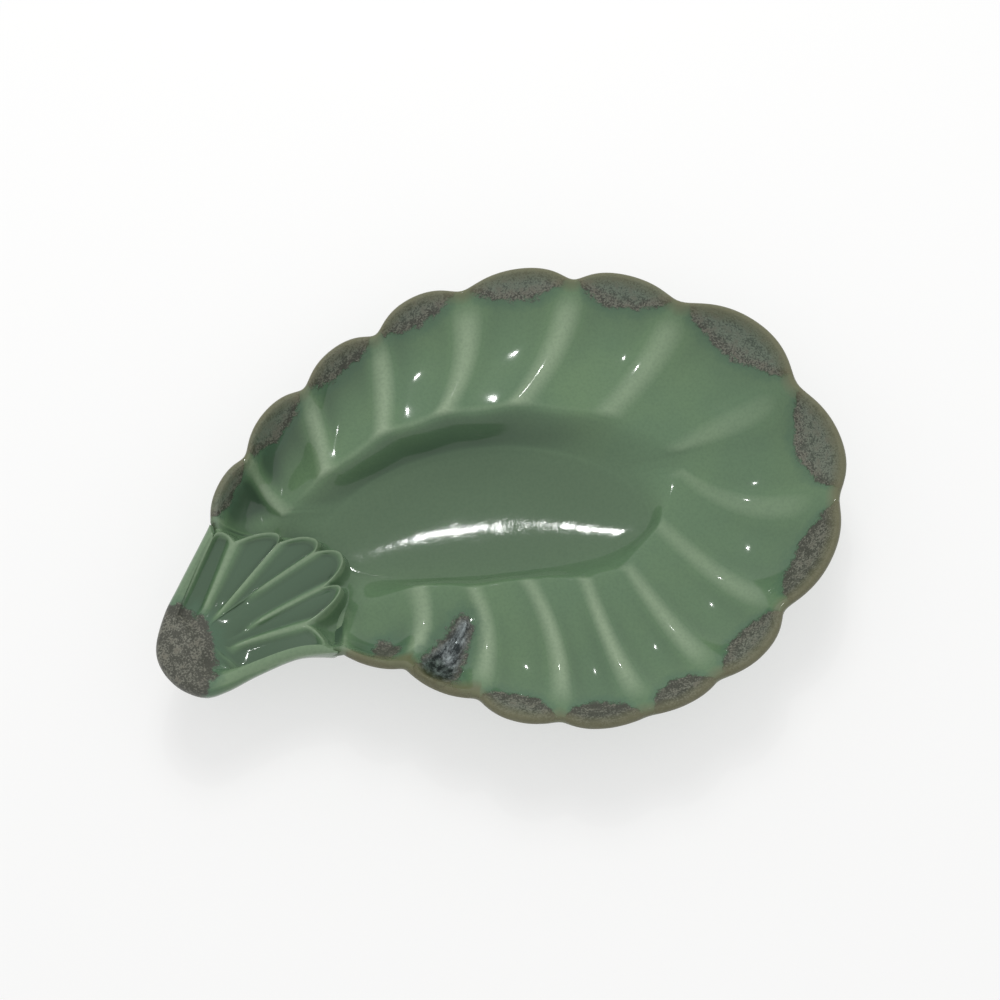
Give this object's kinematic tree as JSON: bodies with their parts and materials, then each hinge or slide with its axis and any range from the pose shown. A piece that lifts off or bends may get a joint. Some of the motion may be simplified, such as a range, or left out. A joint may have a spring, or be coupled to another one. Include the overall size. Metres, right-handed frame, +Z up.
{
  "type": "leaf shaped plate",
  "caption": "Glazed leaf shaped serving plate with a scalloped fluted rim, a deep oval well, a stem grip with a fan of petals, and an oval foot ring.",
  "frame": {"origin": "middle of the plate's outline in plan, at the foot ring's land, on the surface that the plate stands on", "axes": "+X along the leaf from the grip to the far edge, +Z up"},
  "size_m": [0.2592, 0.182, 0.036],
  "materials": {
    "leaf_glaze": "glossy celadon green glaze, lighter where it breaks over the ridges, with mottled dark iron patches inside each lobe of the rim",
    "grip_glaze": "the same celadon glaze, pooled darker in the petals, with a mottled dark iron patch over the tip",
    "foot_clay": "glazed on its sides, bare fired stoneware on the land that it rests on"
  },
  "bodies": {
    "root": {"leaf_shell": "leaf_glaze", "handle": "grip_glaze", "foot_ring": "foot_clay"}
  },
  "joints": []
}
